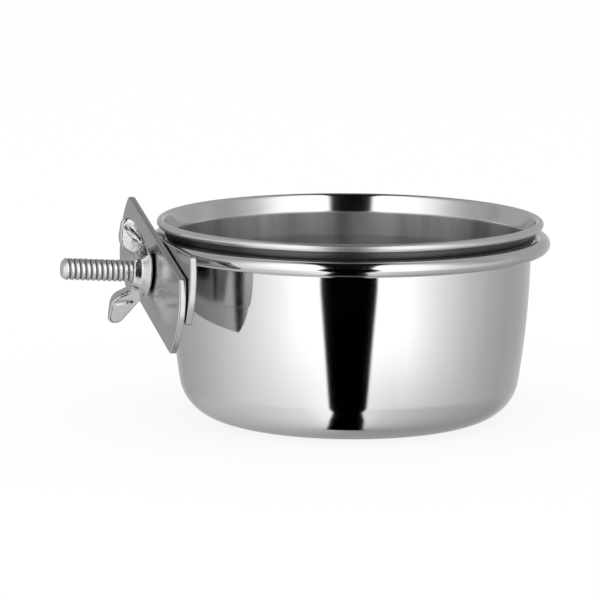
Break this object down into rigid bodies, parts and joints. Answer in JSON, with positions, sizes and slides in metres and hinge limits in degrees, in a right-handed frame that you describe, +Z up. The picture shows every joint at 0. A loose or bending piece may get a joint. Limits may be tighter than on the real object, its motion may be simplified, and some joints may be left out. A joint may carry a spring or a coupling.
{
  "type": "seed cup",
  "caption": "Round steel seed cup with a rolled rim, seated in a wire ring on a bar clamp that a wing nut tightens.",
  "frame": {"origin": "centre of the back plate's clamping face, on the stud's axis", "axes": "+Z up along the bowl's axis, the stud points to -X and leans up by 4 degrees, the bowl lies towards +X"},
  "size_m": [0.1385, 0.1118, 0.0598],
  "materials": {
    "bowl_steel": "deep-drawn stainless sheet, mirror polished",
    "ring_steel": "polished stainless wire, resistance welded",
    "plate_steel": "stamped stainless sheet, tumbled and polished",
    "stud_steel": "zinc-plated rolled thread",
    "nut_steel": "cast and bright zinc plated"
  },
  "bodies": {
    "holder": {"ring": "ring_steel", "back_plate": "plate_steel", "stud": "stud_steel"},
    "cup": {"bowl": "bowl_steel"},
    "clamp": {"clamp_plate": "plate_steel"},
    "nut": {"wing_nut": "nut_steel"}
  },
  "joints": [
    {"name": "cup_lift", "type": "slide", "parent": "holder", "child": "cup", "axis": [0, 0, 1], "range_m": [0, 0.06]},
    {"name": "clamp_travel", "type": "slide", "parent": "holder", "child": "clamp", "axis": [-0.9976, 0, 0.0698], "range_m": [0, 0.018]},
    {"name": "nut_spin", "type": "hinge", "parent": "clamp", "child": "nut", "pos_m": [0, 0, 0], "axis": [-0.9976, 0, 0.0698], "range_deg": [0, 4320]}
  ],
  "couplings": [
    {"joint": "nut_spin", "follows": "clamp_travel", "rad_per_m": 4188.8}
  ]
}
